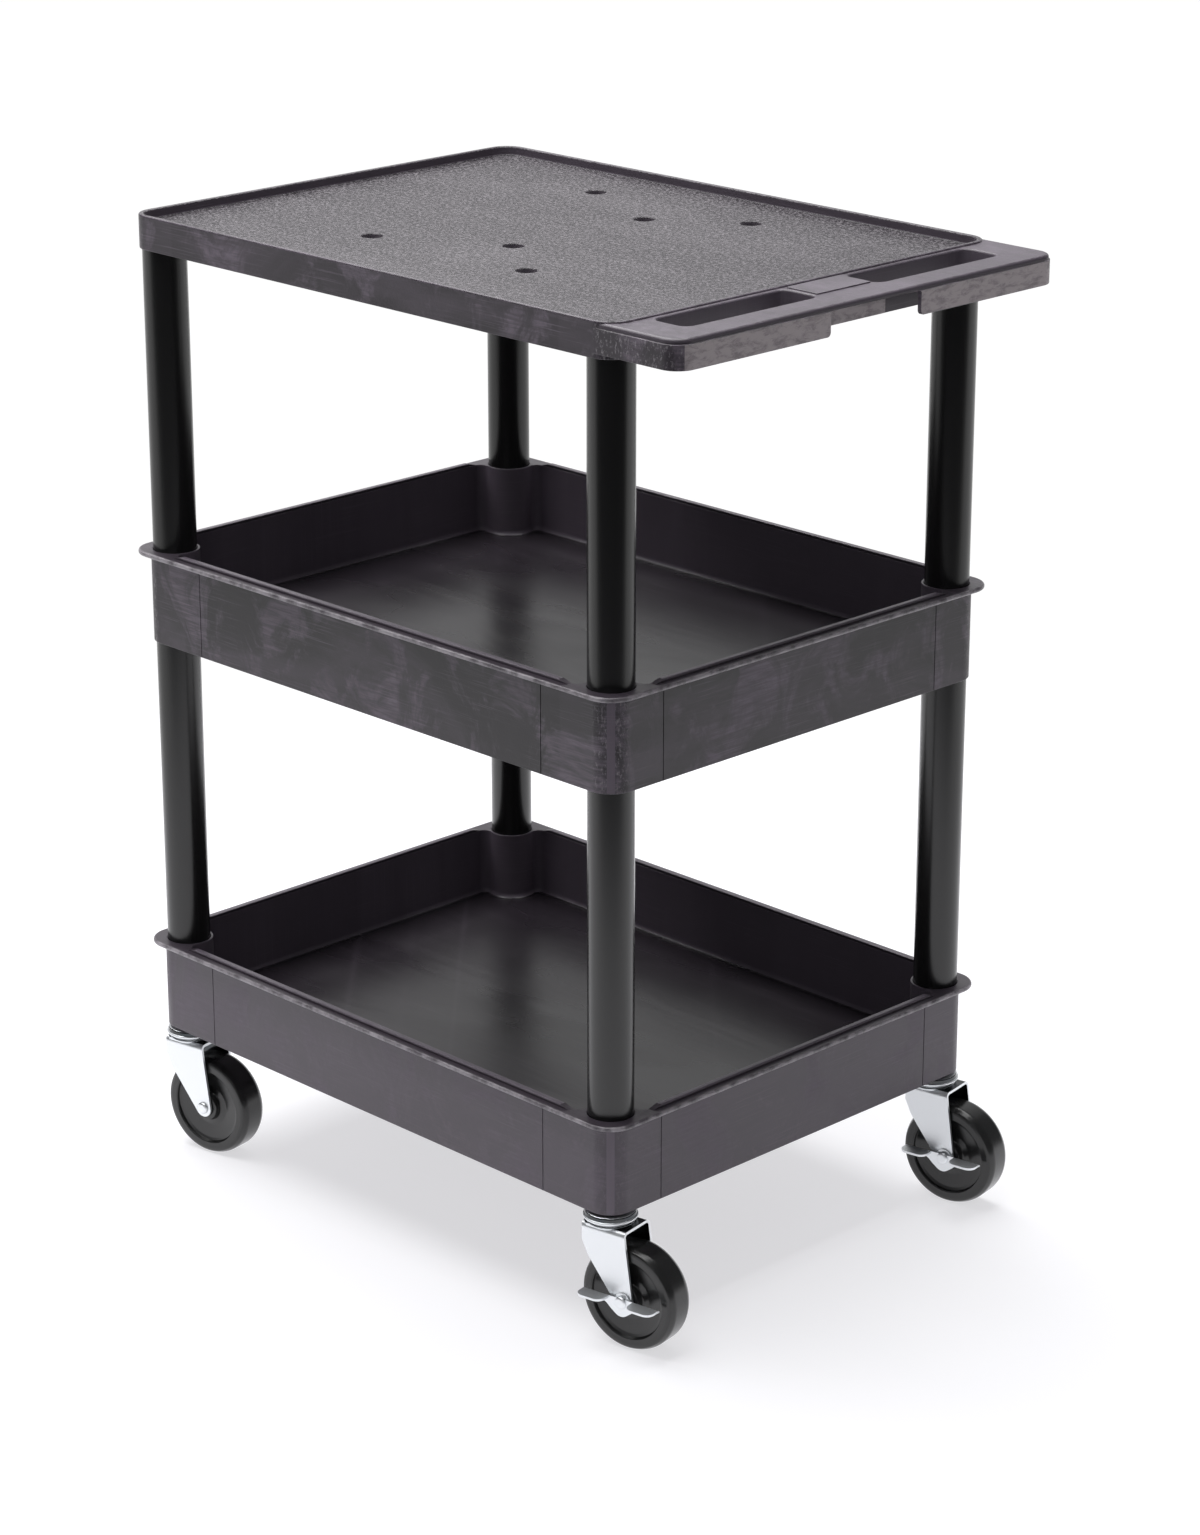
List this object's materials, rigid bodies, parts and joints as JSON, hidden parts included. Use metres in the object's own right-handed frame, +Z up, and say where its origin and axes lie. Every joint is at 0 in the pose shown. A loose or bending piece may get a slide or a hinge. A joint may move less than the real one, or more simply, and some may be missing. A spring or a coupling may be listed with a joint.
{
  "type": "rolling utility cart",
  "caption": "Rolling utility cart with a flat top shelf and pull handle, tub shelves below, round corner legs and swivel stem casters, the rear pair braked.",
  "frame": {"origin": "on the floor under the middle of the cart's overall box", "axes": "+X towards the pull handle, +Y to the pusher's right, +Z up"},
  "size_m": [0.6918, 0.4864, 0.901],
  "materials": {
    "shelf_plastic": "charcoal structural-foam polyethylene, matte, scuffed, with a fine grain",
    "leg_plastic": "gloss black extruded tube",
    "wheel_plastic": "semi-gloss black solid wheel",
    "bush_plastic": "dark grey nylon",
    "zinc_plate": "pressed steel, bright zinc plated"
  },
  "bodies": {
    "cart_frame": {"top_shelf": "shelf_plastic", "middle_tub": "shelf_plastic", "lower_tub": "shelf_plastic", "upper_leg_front_left": "leg_plastic", "lower_leg_front_left": "leg_plastic", "stem_sleeve_front_left": "bush_plastic", "caster_stem_front_left": "zinc_plate", "upper_leg_front_right": "leg_plastic", "lower_leg_front_right": "leg_plastic", "stem_sleeve_front_right": "bush_plastic", "caster_stem_front_right": "zinc_plate", "upper_leg_rear_left": "leg_plastic", "lower_leg_rear_left": "leg_plastic", "stem_sleeve_rear_left": "bush_plastic", "caster_stem_rear_left": "zinc_plate", "upper_leg_rear_right": "leg_plastic", "lower_leg_rear_right": "leg_plastic", "stem_sleeve_rear_right": "bush_plastic", "caster_stem_rear_right": "zinc_plate"},
    "swivel_front_left": {"caster_fork_front_left": "zinc_plate", "bearing_ring_front_left": "zinc_plate", "axle_bolt_front_left": "zinc_plate", "axle_nut_front_left": "zinc_plate", "wheel_bush_front_left": "bush_plastic"},
    "wheel_front_left": {"wheel_front_left": "wheel_plastic"},
    "swivel_front_right": {"caster_fork_front_right": "zinc_plate", "bearing_ring_front_right": "zinc_plate", "axle_bolt_front_right": "zinc_plate", "axle_nut_front_right": "zinc_plate", "wheel_bush_front_right": "bush_plastic"},
    "wheel_front_right": {"wheel_front_right": "wheel_plastic"},
    "swivel_rear_left": {"caster_fork_rear_left": "zinc_plate", "bearing_ring_rear_left": "zinc_plate", "axle_bolt_rear_left": "zinc_plate", "axle_nut_rear_left": "zinc_plate", "wheel_bush_rear_left": "bush_plastic", "brake_cam_rear_left": "zinc_plate"},
    "wheel_rear_left": {"wheel_rear_left": "wheel_plastic"},
    "brake_rear_left": {"brake_lever_rear_left": "zinc_plate"},
    "swivel_rear_right": {"caster_fork_rear_right": "zinc_plate", "bearing_ring_rear_right": "zinc_plate", "axle_bolt_rear_right": "zinc_plate", "axle_nut_rear_right": "zinc_plate", "wheel_bush_rear_right": "bush_plastic", "brake_cam_rear_right": "zinc_plate"},
    "wheel_rear_right": {"wheel_rear_right": "wheel_plastic"},
    "brake_rear_right": {"brake_lever_rear_right": "zinc_plate"}
  },
  "joints": [
    {"name": "swivel_front_left", "type": "hinge", "parent": "cart_frame", "child": "swivel_front_left", "pos_m": [-0.3149, -0.20591, 0.114], "axis": [0, 0, 1], "continuous": true},
    {"name": "roll_front_left", "type": "hinge", "parent": "swivel_front_left", "child": "wheel_front_left", "pos_m": [-0.28831, -0.20122, 0.048], "axis": [-0.1736, 0.9848, 0], "continuous": true},
    {"name": "swivel_front_right", "type": "hinge", "parent": "cart_frame", "child": "swivel_front_right", "pos_m": [-0.3149, 0.21209, 0.114], "axis": [0, 0, 1], "continuous": true},
    {"name": "roll_front_right", "type": "hinge", "parent": "swivel_front_right", "child": "wheel_front_right", "pos_m": [-0.28831, 0.21678, 0.048], "axis": [-0.1736, 0.9848, 0], "continuous": true},
    {"name": "swivel_rear_left", "type": "hinge", "parent": "cart_frame", "child": "swivel_rear_left", "pos_m": [0.2507, -0.20591, 0.114], "axis": [0, 0, 1], "continuous": true},
    {"name": "roll_rear_left", "type": "hinge", "parent": "swivel_rear_left", "child": "wheel_rear_left", "pos_m": [0.27729, -0.20122, 0.048], "axis": [-0.1736, 0.9848, 0], "continuous": true},
    {"name": "brake_rear_left", "type": "hinge", "parent": "swivel_rear_left", "child": "brake_rear_left", "pos_m": [0.28102, -0.2224, 0.048], "axis": [-0.1736, 0.9848, 0], "range_deg": [0, 14]},
    {"name": "swivel_rear_right", "type": "hinge", "parent": "cart_frame", "child": "swivel_rear_right", "pos_m": [0.2507, 0.21209, 0.114], "axis": [0, 0, 1], "continuous": true},
    {"name": "roll_rear_right", "type": "hinge", "parent": "swivel_rear_right", "child": "wheel_rear_right", "pos_m": [0.27729, 0.21678, 0.048], "axis": [-0.1736, 0.9848, 0], "continuous": true},
    {"name": "brake_rear_right", "type": "hinge", "parent": "swivel_rear_right", "child": "brake_rear_right", "pos_m": [0.28102, 0.19561, 0.048], "axis": [-0.1736, 0.9848, 0], "range_deg": [0, 14]}
  ]
}
